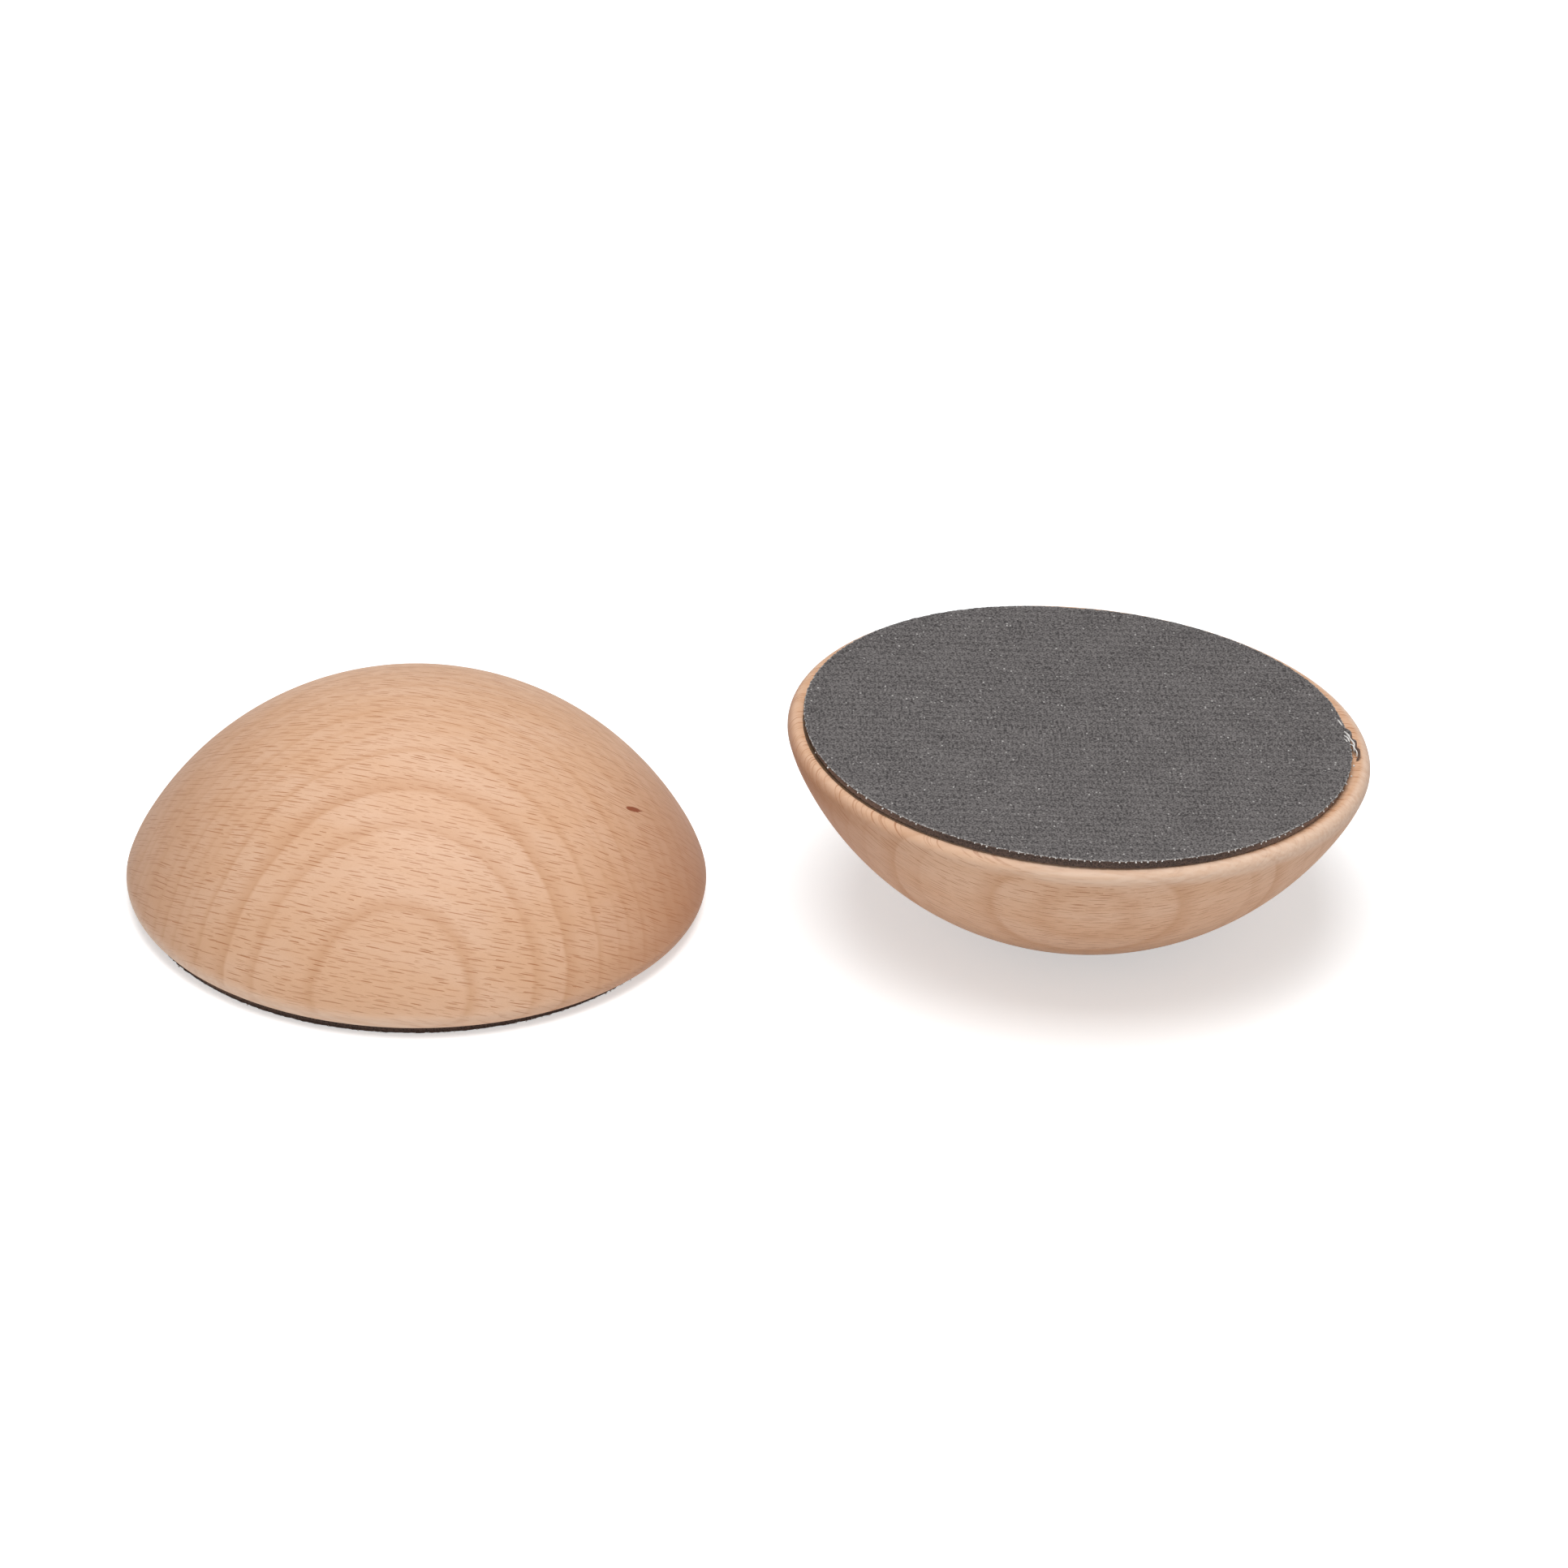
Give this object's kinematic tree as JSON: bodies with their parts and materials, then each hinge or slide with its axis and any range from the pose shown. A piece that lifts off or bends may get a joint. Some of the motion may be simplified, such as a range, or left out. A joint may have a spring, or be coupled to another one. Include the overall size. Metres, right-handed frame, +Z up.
{
  "type": "balance stepping stone",
  "caption": "Turned beech balance stepping stones with grip pads: a low dome lying pad down, and its mate turned over and leaning on its dome.",
  "frame": {"origin": "on the upright dome's axis, at the outer face of its grip pad, on the floor", "axes": "+Z up, +X from the upright stone towards the inverted one, +Y away from the viewer"},
  "size_m": [0.32, 0.1547, 0.0611],
  "materials": {
    "beech": "satin",
    "adhesive": "matte",
    "foam": "matte",
    "grip_fabric": "matte"
  },
  "bodies": {
    "root": {"upright_beech_dome": "beech", "upright_adhesive_film": "adhesive", "upright_foam_layer": "foam", "upright_grip_facing": "grip_fabric", "inverted_beech_dome": "beech", "inverted_adhesive_film": "adhesive", "inverted_foam_layer": "foam", "inverted_grip_facing": "grip_fabric"}
  },
  "joints": []
}
